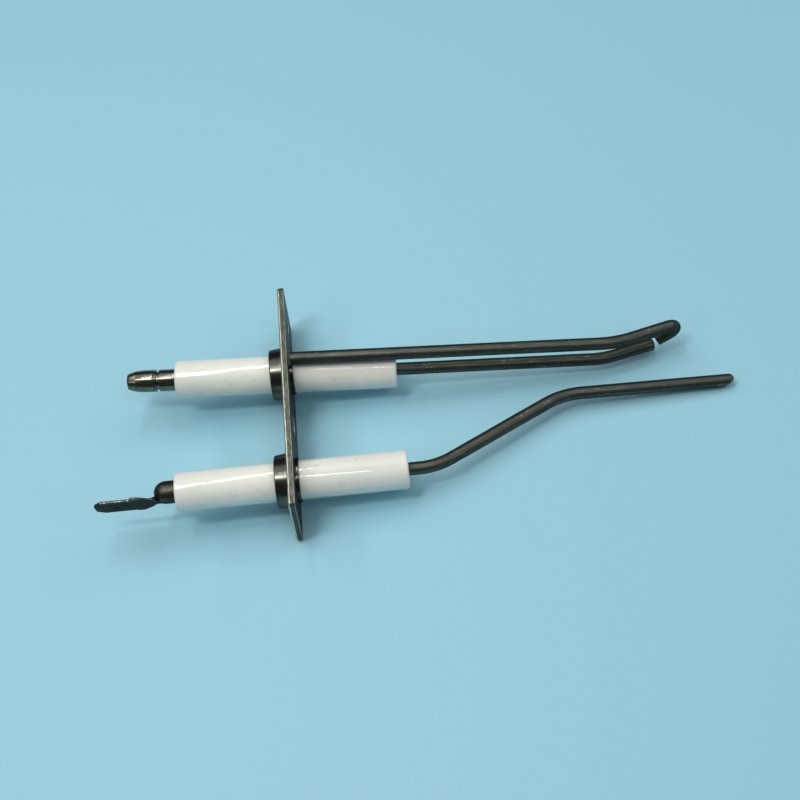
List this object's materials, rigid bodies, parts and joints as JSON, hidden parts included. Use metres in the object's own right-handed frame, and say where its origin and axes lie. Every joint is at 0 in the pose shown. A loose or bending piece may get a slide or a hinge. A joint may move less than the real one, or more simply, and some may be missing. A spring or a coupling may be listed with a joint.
{
  "type": "ignition electrode",
  "caption": "Burner ignition and flame-sensing electrode: a steel plate holding ceramic-insulated spark and sensor rods with push-on terminals, and a welded hooked ground rod.",
  "frame": {"origin": "centre of the mounting plate's burner-side face", "axes": "+X into the burner along the rods; +Y along the plate, from the sensing electrode to the spark electrode; +Z from the spark rod towards the ground rod"},
  "size_m": [0.1491, 0.06, 0.018],
  "materials": {
    "plate_steel": "satin, rolled",
    "bush_steel": "turned, dark satin",
    "glazed_ceramic": "glossy white glaze",
    "rod_alloy": "drawn, oxidised, satin",
    "pin_nickel": "polished",
    "tab_steel": "pressed, heat-tinted",
    "cement": "matte, grainy",
    "weld_metal": "rough, heat-darkened"
  },
  "bodies": {
    "root": {"mounting_plate": "plate_steel", "sensor_bush": "bush_steel", "spark_bush": "bush_steel", "sensor_bush_cement": "cement", "spark_bush_cement": "cement", "sensor_insulator": "glazed_ceramic", "spark_insulator": "glazed_ceramic", "sensor_rod_cement": "cement", "spark_rod_cement": "cement", "sensor_rod": "rod_alloy", "spark_rod": "rod_alloy", "ground_rod": "rod_alloy", "ground_rod_weld": "weld_metal", "spark_terminal_pin": "pin_nickel", "sensor_tab_terminal": "tab_steel"}
  },
  "joints": []
}
